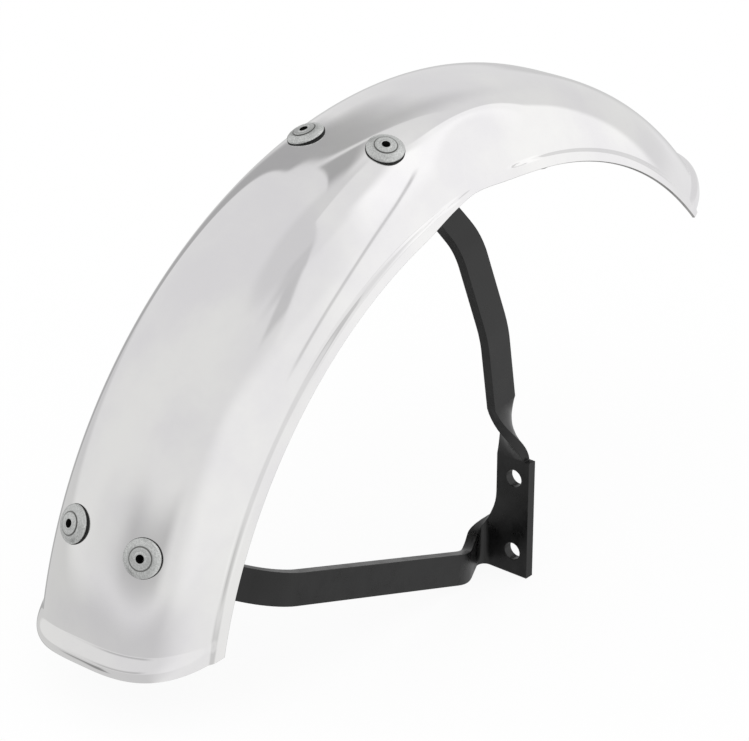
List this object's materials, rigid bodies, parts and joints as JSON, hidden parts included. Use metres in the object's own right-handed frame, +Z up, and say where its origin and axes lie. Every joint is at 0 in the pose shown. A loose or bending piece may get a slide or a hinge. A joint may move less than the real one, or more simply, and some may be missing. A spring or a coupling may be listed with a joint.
{
  "type": "scooter mudguard",
  "caption": "Arched polished steel mudguard for a scooter's front wheel, riveted to a black flat-bar bracket whose upright plate bolts to the suspension.",
  "frame": {"origin": "middle of the bracket plate's two bolt holes, on the plate's rear face", "axes": "+X forward, +Y to the vehicle's left, +Z up, as the mudguard stands on the vehicle"},
  "size_m": [0.4426, 0.1367, 0.2303],
  "materials": {
    "polished_steel": "polished stainless steel sheet",
    "black_coat": "satin black powder coat",
    "zinc_plate": "dull zinc plate",
    "rubber": "matte black rubber"
  },
  "bodies": {
    "root": {"blade": "polished_steel", "bracket": "black_coat", "rivet_rear_left": "zinc_plate", "washer_rear_left": "zinc_plate", "seal_rear_left": "rubber", "rivet_rear_right": "zinc_plate", "washer_rear_right": "zinc_plate", "seal_rear_right": "rubber", "rivet_front_left": "zinc_plate", "washer_front_left": "zinc_plate", "seal_front_left": "rubber", "rivet_front_right": "zinc_plate", "washer_front_right": "zinc_plate", "seal_front_right": "rubber"}
  },
  "joints": []
}
